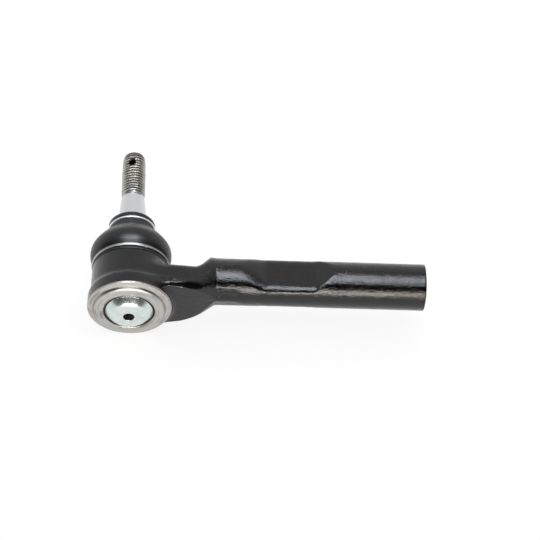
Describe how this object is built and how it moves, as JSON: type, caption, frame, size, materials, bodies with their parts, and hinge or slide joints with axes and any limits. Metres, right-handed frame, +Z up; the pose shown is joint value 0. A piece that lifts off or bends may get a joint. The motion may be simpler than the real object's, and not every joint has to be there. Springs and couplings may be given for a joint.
{
  "type": "tie rod end",
  "caption": "Outer tie rod end: forged socket with a threaded shank, ball stud with taper and thread, dust boot held by wire rings, domed closing cover.",
  "frame": {"origin": "centre of the threaded bore at its mouth, on the rod axis", "axes": "+X along the rod axis and out of the threaded bore, +Y along the ball stud towards its tip, +Z up as the part lies on a bench"},
  "size_m": [0.194, 0.1216, 0.048],
  "materials": {
    "black_paint": "gloss black paint over forged steel, bare turned steel at the rolled lip",
    "zinc_plate": "bluish bright zinc plate",
    "black_rubber": "semi-matte moulded rubber",
    "spring_steel": "plain spring steel",
    "race_plastic": "satin acetal",
    "bare_steel": "satin ground steel, rolled thread",
    "ring_wire": "bright zinc-plated wire"
  },
  "bodies": {
    "socket": {"housing": "black_paint", "end_cover": "zinc_plate", "cover_seal": "black_rubber", "preload_spring": "spring_steel", "upper_race": "race_plastic"},
    "cup": {"lower_race": "race_plastic"},
    "boot": {"dust_boot": "black_rubber", "boot_lower_ring": "ring_wire"},
    "boot_top": {"boot_upper_ring": "ring_wire"},
    "stud": {"ball_stud": "bare_steel"}
  },
  "joints": [
    {"name": "cup_float", "type": "slide", "parent": "socket", "child": "cup", "axis": [0, 1, 0], "range_m": [-0.0003, 0], "stiffness_N_per_m": 20000, "springref_m": 0.002, "deforming": ["preload_spring"]},
    {"name": "boot_turn", "type": "hinge", "parent": "socket", "child": "boot", "pos_m": [-0.17, 0, 0], "axis": [0, 1, 0], "continuous": true},
    {"name": "stud_tilt", "type": "hinge", "parent": "boot", "child": "boot_top", "pos_m": [-0.17, 0, 0], "axis": [0, 0, 1], "range_deg": [-25, 25], "deforming": ["dust_boot"]},
    {"name": "stud_spin", "type": "hinge", "parent": "boot_top", "child": "stud", "pos_m": [-0.17, 0, 0], "axis": [0, 1, 0], "continuous": true}
  ]
}
